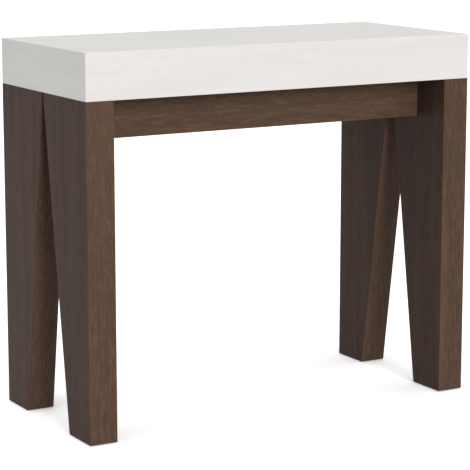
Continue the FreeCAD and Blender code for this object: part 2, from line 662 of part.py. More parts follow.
outside_of_box = box_envelope()
for half_name in ("front", "rear"):
    half_table(half_name, outside_of_box)
for guide_side, guide_side_name in ((-1, "left"), (1, "right")):
    for member in range(GUIDE_COUNT):
        guide(guide_side, guide_side_name, member)
seam_pins()
doc.recompute()

failed = [item.Label for item in doc.Objects if {"Invalid", "Error"} & set(item.State)]
failed += [item.Label for item in nodes if item.Shape.isNull() or not item.Shape.isValid()]
if failed:
    raise RuntimeError(f"these did not build: {failed}")

os.makedirs("parts", exist_ok=True)
for item in nodes:
    item.Shape.exportStep(f"parts/{item.Label}.step")
print(f"{len(nodes)} sub-parts written")
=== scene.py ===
import json
import math

import bmesh
import bpy
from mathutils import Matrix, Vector

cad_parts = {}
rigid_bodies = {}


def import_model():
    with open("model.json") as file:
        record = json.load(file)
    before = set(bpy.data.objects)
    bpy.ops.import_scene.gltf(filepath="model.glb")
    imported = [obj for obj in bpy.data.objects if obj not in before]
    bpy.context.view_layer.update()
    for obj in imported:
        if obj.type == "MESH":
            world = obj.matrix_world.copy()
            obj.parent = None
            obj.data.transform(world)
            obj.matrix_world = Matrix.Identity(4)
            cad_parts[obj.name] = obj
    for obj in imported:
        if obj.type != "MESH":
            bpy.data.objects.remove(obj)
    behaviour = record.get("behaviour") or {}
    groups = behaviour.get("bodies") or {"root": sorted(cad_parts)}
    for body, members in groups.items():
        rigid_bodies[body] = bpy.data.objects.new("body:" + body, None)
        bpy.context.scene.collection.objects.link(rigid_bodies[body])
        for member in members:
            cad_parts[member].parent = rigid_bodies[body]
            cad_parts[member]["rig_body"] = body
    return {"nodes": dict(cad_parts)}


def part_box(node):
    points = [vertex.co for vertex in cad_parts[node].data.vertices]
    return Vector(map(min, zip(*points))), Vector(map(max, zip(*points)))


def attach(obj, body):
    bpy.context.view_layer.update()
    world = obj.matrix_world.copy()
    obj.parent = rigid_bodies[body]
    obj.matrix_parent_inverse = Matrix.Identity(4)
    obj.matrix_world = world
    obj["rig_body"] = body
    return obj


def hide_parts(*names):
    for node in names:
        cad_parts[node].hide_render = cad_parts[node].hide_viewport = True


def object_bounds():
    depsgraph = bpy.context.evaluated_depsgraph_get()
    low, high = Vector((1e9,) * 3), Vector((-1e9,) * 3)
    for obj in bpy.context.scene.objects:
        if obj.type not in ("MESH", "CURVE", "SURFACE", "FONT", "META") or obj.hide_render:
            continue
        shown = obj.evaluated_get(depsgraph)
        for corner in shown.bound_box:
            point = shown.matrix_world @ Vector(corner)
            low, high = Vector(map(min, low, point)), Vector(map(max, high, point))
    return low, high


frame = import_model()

# An extending console table in two halves: a white ash box top on walnut legs and aprons,
# with telescopic guides inside the box.
# Metres, in the frame's own axes: X along the table, the front faces -Y, Z up.

cad_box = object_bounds()
MM = 0.001
# Points closer than this are at one place.
TOUCH = 0.02 * MM


# Finishes

# The two colours that a mix node takes, and the colour that it gives
MIX_A, MIX_B, MIX_COLOUR = 6, 7, 2
# Each mark of a wood starts elsewhere in its noise, so that no two fall together.
MARK_SHIFT = (1.7, 2.3, 3.1)
# How the growth rings slant through a board, for each direction of its grain
RING_SLANT = {"X": (0, 0.8, 0.6), "Y": (0.8, 0, 0.6), "Z": (0.8, 0.6, 0)}
# A ring opens with its pores, in the early wood, and closes with a darker line of late wood:
# the mark that breaks each of them up, and where in the ring it fades in and is full.
RING_ZONES = {"pore": ("pore", 0.7, 0.05), "line": ("break", 0.45, 0.97)}
# Worn arrises: their width, and the cosines of the turn at which wear starts and is full
WEAR_WIDTH, WEAR_STARTS, WEAR_FULL, WEAR_SAMPLES = 1.2 * MM, 0.995, 0.8, 6
# Pressed grain: the depth of its pores, and the share of it that its growth lines have
GRAIN_DEPTH, LINE_SHARE = 0.12 * MM, 0.35
WOOD_IOR = 1.5
# The skin of metal and plastic: where its marks fade in and are full, and the strength of their relief
SKIN_STARTS, SKIN_FULL, SKIN_STRENGTH, SKIN_DETAIL = 0.3, 0.7, 0.4, 3
# The drift of their tone is so many times broader than the marks.
DRIFT_SPREAD, DRIFT_DETAIL = 9, 2


def linear(colour):
    """A hex colour as the linear red, green, blue and alpha that a shader takes."""
    channels = [int(colour[start:start + 2], 16) / 255 for start in (1, 3, 5)]
    return [c / 12.92 if c <= 0.04045 else ((c + 0.055) / 1.055) ** 2.4 for c in channels] + [1]


def add(tree, kind, inputs, output=0, **settings):
    """Adds a node with its settings, its values and the sockets that feed it, and gives its output."""
    node = tree.nodes.new(f"ShaderNode{kind}")
    for name, value in settings.items():
        setattr(node, name, value)
    for name, value in inputs.items():
        if isinstance(value, bpy.types.NodeSocket):
            tree.links.new(value, node.inputs[name])
        else:
            node.inputs[name].default_value = value
    return node.outputs[output] if node.outputs else None


def new_finish(name):
    """An empty material, with the place that its patterns are drawn from."""
    material = bpy.data.materials.new(name)
    material.use_nodes = True
    material.node_tree.nodes.clear()
    return material, material.node_tree, add(material.node_tree, "TexCoord", {}, "Object")


def wood_finish(name, grain, wood):
    """Wood or wood-effect board: slow drifts of tone, growth lines, pores and worn arrises."""
    material, tree, place = new_finish(name)
    share = {}
    for mark, (along, across, detail, low, high) in wood["marks"].items():
        scale = [1 / (MM * (along if axis == grain else across)) for axis in "XYZ"]
        start = [len(mark) * shift for shift in MARK_SHIFT]
        spread = add(tree, "Mapping", {"Vector": place, "Location": start, "Scale": scale})
        noise = add(tree, "TexNoise", {"Vector": spread, "Scale": 1, "Detail": detail})
        limits = {"Value": noise, "From Min": low, "From Max": high}
        share[mark] = add(tree, "MapRange", limits, interpolation_type="SMOOTHSTEP")

    # Growth rings run at a slant through the board, and they wander along the grain.
    slope = [part / (MM * wood["ring_width"]) for part in RING_SLANT[grain]]
    across = add(tree, "VectorMath", {0: place, 1: slope}, "Value", operation="DOT_PRODUCT")
    growth = {0: share["wander"], 1: wood["figure"], 2: across}
    growth = add(tree, "Math", growth, operation="MULTIPLY_ADD")
    ring = add(tree, "Math", {0: growth}, operation="FRACT")
    for zone, (mark, low, high) in RING_ZONES.items():
        limits = {"Value": ring, "From Min": low, "From Max": high}
        within = add(tree, "MapRange", limits, interpolation_type="SMOOTHSTEP")
        share[zone] = add(tree, "Math", {0: within, 1: share[mark]}, operation="MULTIPLY")

    # An arris is where the normal turns within the width of the wear.
    eased = add(tree, "Bevel", {"Radius": WEAR_WIDTH}, samples=WEAR_SAMPLES)
    facing = add(tree, "NewGeometry", {}, "Normal")
    flat = add(tree, "VectorMath", {0: eased, 1: facing}, "Value", operation="DOT_PRODUCT")
    arris = {"Value": flat, "From Min": WEAR_STARTS, "From Max": WEAR_FULL}
    arris = add(tree, "MapRange", arris, interpolation_type="SMOOTHSTEP")
    share["worn"] = add(tree, "Math", {0: arris, 1: share["patch"]}, operation="MULTIPLY")

    tones = {MIX_A: linear(wood["light"]), MIX_B: linear(wood["dark"])}
    colour = add(tree, "Mix", {"Factor": share["tone"], **tones}, MIX_COLOUR, data_type="RGBA")
    for layer in ("mottle", "line", "pore", "worn"):
        over, amount = wood[layer]
        amount = add(tree, "Math", {0: share[layer], 1: amount}, operation="MULTIPLY")
        tones = {MIX_A: colour, MIX_B: linear(over)}
        colour = add(tree, "Mix", {"Factor": amount, **tones}, MIX_COLOUR, data_type="RGBA")

    smooth, rough = wood["roughness"]
    dull = add(tree, "MapRange", {"Value": share["pore"], "To Min": smooth, "To Max": rough})
    relief = {0: share["line"], 1: LINE_SHARE, 2: share["pore"]}
    relief = add(tree, "Math", relief, operation="MULTIPLY_ADD")
    pressed = {"Height": relief, "Strength": wood["relief"], "Distance": GRAIN_DEPTH}
    pressed = add(tree, "Bump", pressed, invert=True)
    look = {"Base Color": colour, "Roughness": dull, "Normal": pressed}
    look.update({"IOR": WOOD_IOR, "Specular IOR Level": wood["gloss"]})
    add(tree, "OutputMaterial", {"Surface": add(tree, "BsdfPrincipled", look)})
    return material


# A mottle, line, pore or worn layer is its colour and how much of it shows.
# A mark is its millimetres along and across the grain, its noise detail, and where the noise
# fades in and is full. Pores are really about 0.2 mm wide and are drawn at about 1 mm, to show.
WHITE_ASH = {
    "light": "#D5D4D1", "dark": "#D2D1CD", "mottle": ("#DDDCD9", 0.13), "line": ("#B2B0AA", 0.09),
    "pore": ("#A3A19B", 0.15), "worn": ("#C3C1BB", 0.4), "ring_width": 11, "figure": 2.6,
    "roughness": (0.46, 0.6), "relief": 0.35, "gloss": 0.4,
    "marks": {
        "tone": (320, 50, 3, 0.32, 0.68), "mottle": (170, 9, 3, 0.42, 0.7), "wander": (380, 34, 3, 0, 1),
        "break": (260, 22, 2, 0.4, 0.62), "pore": (24, 0.8, 1, 0.54, 0.64), "patch": (26, 26, 3, 0.3, 0.75),
    },
}
WALNUT_EDGE = {
    "light": "#503C2E", "dark": "#453326", "mottle": ("#664F3F", 0.44), "line": ("#30231A", 0.3),
    "pore": ("#231913", 0.5), "worn": ("#654E3D", 0.4), "ring_width": 10, "figure": 2.8,
    "roughness": (0.56, 0.7), "relief": 0.4, "gloss": 0.18,
    "marks": {
        "tone": (420, 30, 2, 0.32, 0.68), "mottle": (30, 5, 4, 0.43, 0.74), "wander": (300, 30, 3, 0, 1),
        "break": (200, 18, 2, 0.4, 0.62), "pore": (16, 0.8, 1, 0.55, 0.65), "patch": (26, 26, 3, 0.3, 0.75),
    },
}
# The broad faces of the legs take a darker film than their edging: painted shade, for faces that turn away
# from the key lamp.
# The aprons take a slightly lighter film: painted light, for the shade that falls on them under the box.
WALNUT_SHADED_FACE = {
    **WALNUT_EDGE, "light": "#45332B", "dark": "#3A2C24", "mottle": ("#554236", 0.3),
    "line": ("#291D18", 0.32), "gloss": 0.1,
}
WALNUT_LIGHTENED_APRON = {**WALNUT_EDGE, "light": "#544031", "dark": "#4A372A", "mottle": ("#6B5442", 0.44)}
BEECH = {
    "light": "#CDB191", "dark": "#BF9E7B", "mottle": ("#D8C1A5", 0.4), "line": ("#AB8863", 0.3),
    "pore": ("#917051", 0.5), "worn": ("#DAC5AA", 0.4), "ring_width": 7, "figure": 1.8,
    "roughness": (0.6, 0.72), "relief": 0.5, "gloss": 0.35,
    "marks": {
        "tone": (300, 26, 2, 0.32, 0.68), "mottle": (30, 8, 3, 0.44, 0.72), "wander": (240, 30, 3, 0, 1),
        "break": (150, 20, 2, 0.4, 0.62), "pore": (5, 0.9, 1, 0.58, 0.68), "patch": (20, 20, 3, 0.3, 0.75),
    },
}

# White ash-effect melamine board: a near-white satin film with pale grey growth lines and pressed pores.
ash_along = wood_finish("white_ash_melamine_along", "X", WHITE_ASH)
ash_across = wood_finish("white_ash_melamine_across", "Y", WHITE_ASH)
# Walnut-effect melamine board: a dark brown matt film, its grain upright on the legs and level on the aprons.
walnut_up = wood_finish("walnut_edging_up", "Z", WALNUT_EDGE)
# Painted shade: a darker copy of the walnut film, put on the broad faces of the legs.
walnut_shaded_face_up = wood_finish("walnut_melamine_up", "Z", WALNUT_SHADED_FACE)
# Painted light: a lighter copy of the walnut film for the aprons, which lie in shade under the box.
walnut_lightened_along = wood_finish("walnut_melamine_along", "X", WALNUT_LIGHTENED_APRON)
# Planed steamed beech, left bare: pinkish tan with short dark flecks along the grain.
beech_deep = wood_finish("planed_beech_deep", "Y", BEECH)
beech_along = wood_finish("planed_beech_along", "X", BEECH)


def fine_finish(name, colours, marks, roughness, relief, metallic):
    """Metal or plastic: one tone drifts into another under fine marks of its making, in millimetres."""
    material, tree, place = new_finish(name)
    fine = [1 / (MM * size) for size in marks]
    slow = [1 / (DRIFT_SPREAD * MM * size) for size in marks]
    spread = add(tree, "Mapping", {"Vector": place, "Scale": fine})
    skin = add(tree, "TexNoise", {"Vector": spread, "Scale": 1, "Detail": SKIN_DETAIL})
    spread = add(tree, "Mapping", {"Vector": place, "Scale": slow})
    drift = add(tree, "TexNoise", {"Vector": spread, "Scale": 1, "Detail": DRIFT_DETAIL})
    tones = {MIX_A: linear(colours[0]), MIX_B: linear(colours[1])}
    colour = add(tree, "Mix", {"Factor": drift, **tones}, MIX_COLOUR, data_type="RGBA")
    dull = {"Value": skin, "From Min": SKIN_STARTS, "From Max": SKIN_FULL}
    dull.update({"To Min": roughness[0], "To Max": roughness[1]})
    dull = add(tree, "MapRange", dull)
    raised = add(tree, "Bump", {"Height": skin, "Strength": SKIN_STRENGTH, "Distance": relief * MM})
    look = {"Base Color": colour, "Roughness": dull, "Normal": raised, "Metallic": metallic}
    add(tree, "OutputMaterial", {"Surface": add(tree, "BsdfPrincipled", look)})
    return material


# Extruded, anodised aluminium: pale satin grey with faint die lines along its length.
aluminium = fine_finish(
    "anodised_aluminium", ("#C6C8C9", "#B4B7B9"),
    marks=(0.8, 300, 0.8), roughness=(0.28, 0.42), relief=0.03, metallic=1,
)
# Zinc-plated steel: bright grey, with a faint blue and straw drift.
zinc_steel = fine_finish(
    "zinc_plated_steel", ("#C2C6C9", "#C9C4B4"),
    marks=(1.5, 1.5, 1.5), roughness=(0.22, 0.38), relief=0.02, metallic=1,
)
# Die-cast zinc: dull grey with a fine cast skin.
cast_zinc = fine_finish(
    "die_cast_zinc", ("#A6A8AA", "#96989B"),
    marks=(0.7, 0.7, 0.7), roughness=(0.42, 0.58), relief=0.04, metallic=1,
)
# Moulded polyethylene: dark brown and slightly waxy, with a fine moulded skin.
brown_plastic = fine_finish(
    "moulded_polyethylene", ("#3A2F28", "#46392F"),
    marks=(0.6, 0.6, 0.6), roughness=(0.42, 0.56), relief=0.04, metallic=0,
)


# Modelling

# Turns about X, Y and Z, in degrees, of a shape that is modelled upright
UPRIGHT = (0, 0, 0)
ALONG_X = (0, 90, 0)
AGAINST_X = (0, -90, 0)
ALONG_Y = (90, 0, 0)
HALF_TURN = (0, 0, 180)
# Flats round a rod, and round a slim one
ROD_SIDES, SLIM_SIDES = 48, 32
# Faces that turn by less than this shade as one surface.
SMOOTH_TURN = math.radians(35)
# Room round a fixing in its bore, and past its end
FIXING_ROOM, BORE_END_ROOM = 0.1 * MM, 1 * MM


def begin(primitive, **form):
    """Starts a shape from a primitive at its size and place, and opens it for modelling."""
    bpy.ops.object.select_all(action="DESELECT")
    primitive(**form)
    bpy.ops.object.transform_apply(location=True, rotation=True, scale=True)
    bpy.ops.object.mode_set(mode="EDIT")
    bpy.ops.mesh.select_all(action="SELECT")


def block(low, high):
    """Starts from a square block between two corners."""
    begin(bpy.ops.mesh.primitive_cube_add, size=1, location=(low + high) / 2, scale=high - low)


def rod(radius, length, middle=(0, 0, 0), turn=UPRIGHT, sides=ROD_SIDES):
    """Starts from a round bar about its middle."""
    form = {"vertices": sides, "radius": radius, "depth": length, "location": middle}
    form["rotation"] = [math.radians(angle) for angle in turn]
    begin(bpy.ops.mesh.primitive_cylinder_add, **form)


def pick(kind, wanted):
    """Selects the corners, edges or faces that the test wants."""
    bpy.ops.mesh.select_mode(type=kind)
    bpy.ops.mesh.select_all(action="DESELECT")
    mesh = bmesh.from_edit_mesh(bpy.context.object.data)
    for part in {"VERT": mesh.verts, "EDGE": mesh.edges, "FACE": mesh.faces}[kind]:
        if wanted(part):
            part.select_set(True)
    mesh.select_flush_mode()
    bmesh.update_edit_mesh(bpy.context.object.data)


def all_at(part, axis, place):
    """Whether every corner of an edge or a face lies at one place along an axis."""
    return all(abs(corner.co["XYZ".index(axis)] - place) < TOUCH for corner in part.verts)


def reach(edge, axis):
    """How far an edge runs along an axis."""
    first, second = (corner.co["XYZ".index(axis)] for corner in edge.verts)
    return abs(first - second)


def ease(width, steps=3):
    """Rounds the selected edges."""
    bpy.ops.mesh.bevel(offset=width, segments=steps, affect="EDGES")


def draw_up(rise, size=1):
    """Draws the selected end up by a rise, and then widens or narrows it about the Z axis."""
    bpy.ops.mesh.extrude_region_move(TRANSFORM_OT_translate={"value": (0, 0, rise)})
    bpy.ops.transform.resize(value=(size, size, 1), center_override=(0, 0, 0))


def take(piece):
    """Makes one piece the only selected one."""
    bpy.ops.object.select_all(action="DESELECT")
    piece.select_set(True)
    bpy.context.view_layer.objects.active = piece


def keep():
    """Leaves edit mode, and gives the shape modelled so far."""
    bpy.ops.object.mode_set(mode="OBJECT")
    return bpy.context.object


def carve(piece, operation="DIFFERENCE"):
    """Carves a piece with the shape just modelled, which is then thrown away."""
    cutter = keep()
    take(piece)
    carving = piece.modifiers.new("carving", "BOOLEAN")
    carving.operation = operation
    carving.solver = "EXACT"
    carving.object = cutter
    bpy.ops.object.modifier_apply(modifier=carving.name)
    bpy.data.objects.remove(cutter)


def bore(piece, radius, start, end, turn=UPRIGHT):
    """Bores a piece between two points, with room round the fixing and past both of its ends."""
    start, end = Vector(start), Vector(end)
    length = (end - start).length + 2 * BORE_END_ROOM
    rod(radius + FIXING_ROOM, length, (start + end) / 2, turn, SLIM_SIDES)
    carve(piece)


def done(piece, name, finish):
    """Finishes a piece: named, smooth over its eased edges and flat between them, with its finish on."""
    take(piece)
    piece.name = piece.data.name = name
    bpy.ops.object.shade_smooth_by_angle(angle=SMOOTH_TURN)
    # The broad faces keep their own direction, so that the light falls evenly on them.
    flat = piece.modifiers.new("flat_faces", "WEIGHTED_NORMAL")
    flat.keep_sharp = True
    bpy.ops.object.modifier_apply(modifier=flat.name)
    piece.data.materials.clear()
    piece.data.materials.append(finish)
    return piece


def copied(piece, name, move=(0, 0, 0), turn=UPRIGHT):
    """A copy of a piece with a mesh of its own, turned about the origin and then moved."""
    take(piece)
    bpy.ops.object.duplicate(linked=False)
    copy = bpy.context.object
    copy.rotation_euler = [math.radians(angle) for angle in turn]
    copy.location = move
    bpy.ops.object.transform_apply(location=True, rotation=True, scale=True)
    copy.name = copy.data.name = name
    return copy


def set_of(model, name, places):
    """A set of like fixings, joined: copies of a model at the origin, each turned and moved to its place."""
    copies = [copied(model, name, move, turn) for move, turn in places]
    take(copies[0])
    for copy in copies:
        copy.select_set(True)
    bpy.ops.object.join()
    copies[0].name = copies[0].data.name = name
    return copies[0]


def row(low, high, inset, count):
    """Evenly spaced places along a line, with its ends drawn in."""
    if count == 1:
        return [(low + high) / 2]
    step = (high - low - 2 * inset) / (count - 1)
    return [low + inset + number * step for number in range(count)]


def standing(node, radius, wide, deep, height):
    """The places of a set of like fixings, from the box round them all: so many wide, so many deep."""
    low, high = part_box(node)
    rows = row(low.y, high.y, radius, deep)
    return [((x, y, height), UPRIGHT) for x in row(low.x, high.x, radius, wide) for y in rows]


def plan(node, radius, side):
    """Where the two upright fixings of a node stand at the left or right end of the table, in X and Y."""
    low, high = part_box(node)
    x = low.x + radius if side == "left" else high.x - radius
    return [(x, y) for y in row(low.y, high.y, radius, 2)]


def fit(piece, body, node):
    """Fits a finished piece: hides the node it stands for and attaches the piece to the body it moves with.
    """
    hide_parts(node)
    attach(piece, body)


def opposite(name):
    """The name at the rear that a front name becomes when it is turned half round."""
    swap = {"front": "rear", "left": "right", "right": "left"}
    return "_".join(swap.get(word, word) for word in name.split("_"))


def fit_both(piece, node):
    """Fits a front piece and, at the rear, a copy of it turned half round about the middle of the table."""
    rear = copied(piece, opposite(piece.name), turn=HALF_TURN)
    fit(piece, "front_half", node)
    fit(rear, "rear_half", opposite(node))


# Pieces

HALVES, SIDES = ("front", "rear"), ("left", "right")
ARRIS, SEAM_ARRIS, BEARER_ARRIS = 0.8 * MM, 0.3 * MM, 1.5 * MM
FOOT_DEPTH = 97 * MM
PIN_RADIUS, PIN_PLAY = 4 * MM, 0.3 * MM
DOWEL_RADIUS = 4 * MM
CAM_RADIUS, CAM_BOLT_RADIUS = 7.5 * MM, 3 * MM
BOLT_RADIUS, WASHER_RADIUS = 4 * MM, 12 * MM
GLIDE_RADIUS, GLIDE_SHANK_RADIUS = 11 * MM, 4 * MM
# Long and short screws: the radius and depth of the head, then the radius and length of the shank
LONG_HEAD, LONG_CROWN, LONG_SHANK, LONG_LENGTH = 4.5 * MM, 3 * MM, 2.25 * MM, 56 * MM
SHORT_HEAD, SHORT_CROWN, SHORT_SHANK, SHORT_LENGTH = 3.5 * MM, 2.2 * MM, 2 * MM, 25 * MM


def bore_top(half, top):
    """Bores a half top for the seam pins, which slip into the rear one, and for the screws of its bearers."""
    low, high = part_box("seam_pins")
    for (x, _, z), _ in standing("seam_pins", PIN_RADIUS, 3, 1, (low.z + high.z) / 2):
        radius = PIN_RADIUS + (PIN_PLAY if half == "rear" else 0)
        bore(top, radius, (x, low.y, z), (x, high.y, z), ALONG_Y)
    underside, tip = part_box(f"{half}_top_panel")[0].z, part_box(f"{half}_bearer_screws")[1].z
    for side in SIDES:
        for x, y in plan(f"{half}_bearer_screws", LONG_HEAD, side):
            bore(top, LONG_SHANK, (x, y, underside), (x, y, tip))


def box_boards():
    """Eight mitred boards, sawn from one block whose outer edges are eased first."""
    low, high = (corner.copy() for corner in cad_box)
    low.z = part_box("front_fascia")[0].z
    underside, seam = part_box("front_top_panel")[0].z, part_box("front_top_panel")[1].y
    thick = high.z - underside
    at_seam = ((0, seam, 0), (0, 1, 0))
    front_top, front_left, front_right = (0, low.y, high.z), (low.x, low.y, 0), (high.x, low.y, 0)
    left_top, right_top = (low.x, 0, high.z), (high.x, 0, high.z)
    # A saw cut is a point on it and the side that falls away.
    boards = {
        "front_top_panel": (ash_along, [
            at_seam, ((0, 0, underside), (0, 0, -1)),
            (front_top, (0, -1, -1)), (left_top, (-1, 0, -1)), (right_top, (1, 0, -1)),
        ]),
        "front_fascia": (ash_along, [
            ((0, low.y + thick, 0), (0, 1, 0)),
            (front_top, (0, 1, 1)), (front_left, (-1, 1, 0)), (front_right, (1, 1, 0)),
        ]),
        "front_left_cheek": (ash_across, [
            at_seam, ((low.x + thick, 0, 0), (1, 0, 0)),
            (left_top, (1, 0, 1)), (front_left, (1, -1, 0)),
        ]),
        "front_right_cheek": (ash_across, [
            at_seam, ((high.x - thick, 0, 0), (-1, 0, 0)),
            (right_top, (-1, 0, 1)), (front_right, (-1, -1, 0)),
        ]),
    }
    outside = (("Z", high.z), ("X", low.x), ("X", high.x))
    for node, (finish, cuts) in boards.items():
        block(low, high)
        ease(ARRIS, 4)
        for point, away in cuts:
            bpy.ops.mesh.select_all(action="SELECT")
            saw = {"plane_co": point, "plane_no": Vector(away).normalized()}
            bpy.ops.mesh.bisect(**saw, use_fill=True, clear_outer=True)
        pick("EDGE", lambda e: all_at(e, "Y", seam) and any(all_at(e, *face) for face in outside))
        ease(SEAM_ARRIS, 2)
        piece = keep()
        if node != "front_top_panel":
            fit_both(done(piece, f"{node}_board", finish), node)
            continue
        rear = copied(piece, "rear_top_panel_board", turn=HALF_TURN)
        for half, top in zip(HALVES, (piece, rear)):
            bore_top(half, top)
            done(top, f"{half}_top_panel_board", finish)
            fit(top, f"{half}_half", f"{half}_top_panel")


def apron_run(side, outer, inner, height):
    """Where a fixing of the front apron ends in the leg, crosses the joint and ends in the apron."""
    low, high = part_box("front_apron")
    way = -1 if side == "left" else 1
    return [Vector((way * x, (low.y + high.y) / 2, height)) for x in (outer, high.x, inner)]


def dowel_runs(side):
    """The two dowels at one end of the front apron, each half in the leg and half in the apron."""
    low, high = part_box("front_apron_dowels")
    inner = 2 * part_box("front_apron")[1].x - high.x
    return [apron_run(side, high.x, inner, z) for z in (low.z + DOWEL_RADIUS, high.z - DOWEL_RADIUS)]


def cam_bolt_run(side):
    """The cam bolt at one end of the front apron, from its tip in the leg to the middle of its cam."""
    low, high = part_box("front_apron_cam_bolts")
    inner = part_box("front_apron_cams")[1].x - CAM_RADIUS
    return apron_run(side, high.x, inner, (low.z + high.z) / 2)


def legs():
    """Four slabs, raked on the inside and bored for their fixings, with painted shade on the broad faces: a
    darker film there.
    """
    low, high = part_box("front_left_leg")
    block(low, high)
    pick("VERT", lambda v: abs(v.co.y - high.y) < TOUCH and abs(v.co.z - low.z) < TOUCH)
    bpy.ops.transform.translate(value=(0, low.y + FOOT_DEPTH - high.y, 0))
    bpy.ops.mesh.select_all(action="SELECT")
    ease(ARRIS)
    model = keep()
    bolt_foot, glide_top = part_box("front_leg_bolts")[0].z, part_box("front_floor_glides")[1].z
    for side in SIDES:
        node = f"front_{side}_leg"
        slab = copied(model, f"{node}_slab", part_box(node)[0] - low)
        for x, y in plan("front_leg_bolts", BOLT_RADIUS, side):
            bore(slab, BOLT_RADIUS, (x, y, bolt_foot), (x, y, high.z))
        for x, y in plan("front_floor_glides", GLIDE_RADIUS, side):
            bore(slab, GLIDE_SHANK_RADIUS, (x, y, low.z), (x, y, glide_top))
        for tip, joint, _ in dowel_runs(side):
            bore(slab, DOWEL_RADIUS, tip, joint, ALONG_X)
        tip, joint, _ = cam_bolt_run(side)
        bore(slab, CAM_BOLT_RADIUS, tip, joint, ALONG_X)
        done(slab, slab.name, walnut_up)
        slab.data.materials.append(walnut_shaded_face_up)
        # Painted shade: the broad faces take the darker copy of the walnut film.
        broad_faces = [corner.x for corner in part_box(node)]
        for face in slab.data.polygons:
            face.material_index = int(any(abs(face.center.x - x) < TOUCH for x in broad_faces))
        fit_both(slab, node)
    bpy.data.objects.remove(model)


def aprons():
    """A rail between each pair of legs, with eased long edges, bored for its dowels, cam bolts and cams."""
    block(*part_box("front_apron"))
    pick("EDGE", lambda e: reach(e, "X") > TOUCH)
    ease(ARRIS)
    piece = keep()
    low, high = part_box("front_apron_cams")
    deep = high.y - low.y + FIXING_ROOM
    for (x, _, z), _ in standing("front_apron_cams", CAM_RADIUS, 2, 1, (low.z + high.z) / 2):
        rod(CAM_RADIUS + FIXING_ROOM, 2 * deep, (x, high.y, z), ALONG_Y)
        carve(piece)
    for side in SIDES:
        for _, joint, end in dowel_runs(side):
            bore(piece, DOWEL_RADIUS, joint, end, ALONG_X)
        _, joint, end = cam_bolt_run(side)
        bore(piece, CAM_BOLT_RADIUS, joint, end, ALONG_X)
    # Painted light: the apron takes the lighter copy of the walnut film.
    fit_both(done(piece, "front_apron_rail", walnut_lightened_along), "front_apron")


def dowels():
    """Fluted beech dowels with tapered ends, two at each end of an apron."""
    flutes, flute_share, taper, end_share = 20, 0.93, 1.5 * MM, 0.8
    runs = [run for side in SIDES for run in dowel_runs(side)]
    tip, _, end = runs[0]
    straight = (end - tip).length - 2 * taper
    rod(DOWEL_RADIUS, straight, sides=2 * flutes)
    for way in (-1, 1):
        pick("FACE", lambda f: all_at(f, "Z", way * straight / 2))
        draw_up(way * taper, end_share)
    # Every other line of corners is drawn in, which leaves the flutes.
    step = math.pi / flutes
    pick("VERT", lambda v: round(math.atan2(v.co.y, v.co.x) / step) % 2)
    bpy.ops.transform.resize(value=(flute_share, flute_share, 1), center_override=(0, 0, 0))
    model = done(keep(), "dowel", beech_along)
    places = [((tip + end) / 2, ALONG_X) for tip, _, end in runs]
    fit_both(set_of(model, "front_dowels", places), "front_apron_dowels")
    bpy.data.objects.remove(model)


def cam_bolts():
    """Steel bolts from the legs to the cams: coarse thread, plain shank, and a head behind a narrow neck."""
    turns, pitch, root, neck, crown = 5, 2 * MM, 2.3 * MM, 1.9 * MM, 2.2 * MM
    neck_length, head_length, dome = 4 * MM, 1.8 * MM, 0.7 * MM
    tip, joint, end = cam_bolt_run("right")
    point = (joint - tip).length - turns * pitch
    shank = (end - joint).length - neck_length - head_length - dome
    full = CAM_BOLT_RADIUS
    # Each step is a rise and the radius that it ends with.
    steps = [(pitch / 2, full), (pitch / 2, root)] * turns
    steps += [(0, full), (shank, full), (0, neck), (neck_length, neck)]
    steps += [(0, full), (head_length, full), (dome, crown)]
    rod(root, point, (0, 0, point / 2), sides=SLIM_SIDES)
    pick("FACE", lambda f: all_at(f, "Z", point))
    radius = root
    for rise, next_radius in steps:
        draw_up(rise, next_radius / radius)
        radius = next_radius
    model = done(keep(), "cam_bolt", zinc_steel)
    places = [(cam_bolt_run("left")[0], ALONG_X), (tip, AGAINST_X)]
    fit_both(set_of(model, "front_cam_bolts", places), "front_apron_cam_bolts")
    bpy.data.objects.remove(model)


def short_screw_runs(half, side):
    """Where the short screws of a guide have their seat and their tip. The rear ones point outwards."""
    low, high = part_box(f"{half}_guide_screws")
    way = -1 if side == "left" else 1
    if half == "front":
        seat, tip = high.x - SHORT_CROWN, high.x - SHORT_CROWN - SHORT_LENGTH
    else:
        seat, tip = high.x - SHORT_LENGTH, high.x
    places = row(low.y, high.y, SHORT_HEAD, 3)
    return [[Vector((way * x, y, (low.z + high.z) / 2)) for x in (seat, tip)] for y in places]


def battens():
    """Planed beech inside the box, bored for its fixings: bearers for the guides and plates over the legs."""
    for kind, width in (("guide_bearer", BEARER_ARRIS), ("leg_plate", ARRIS)):
        low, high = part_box(f"front_left_{kind}")
        block(low, high)
        ease(width)
        model = keep()
        for half in HALVES:
            for side in SIDES:
                node = f"{half}_{side}_{kind}"
                piece = copied(model, f"{node}_batten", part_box(node)[0] - low)
                if kind == "leg_plate":
                    radius, places = BOLT_RADIUS, plan(f"{half}_leg_bolts", BOLT_RADIUS, side)
                else:
                    radius, places = LONG_SHANK, plan(f"{half}_bearer_screws", LONG_HEAD, side)
                    for seat, tip in short_screw_runs(half, side):
                        bore(piece, SHORT_SHANK, seat, tip, ALONG_X)
                for x, y in places:
                    bore(piece, radius, (x, y, low.z), (x, y, high.z))
                fit(done(piece, piece.name, beech_deep), f"{half}_half", node)
        bpy.data.objects.remove(model)


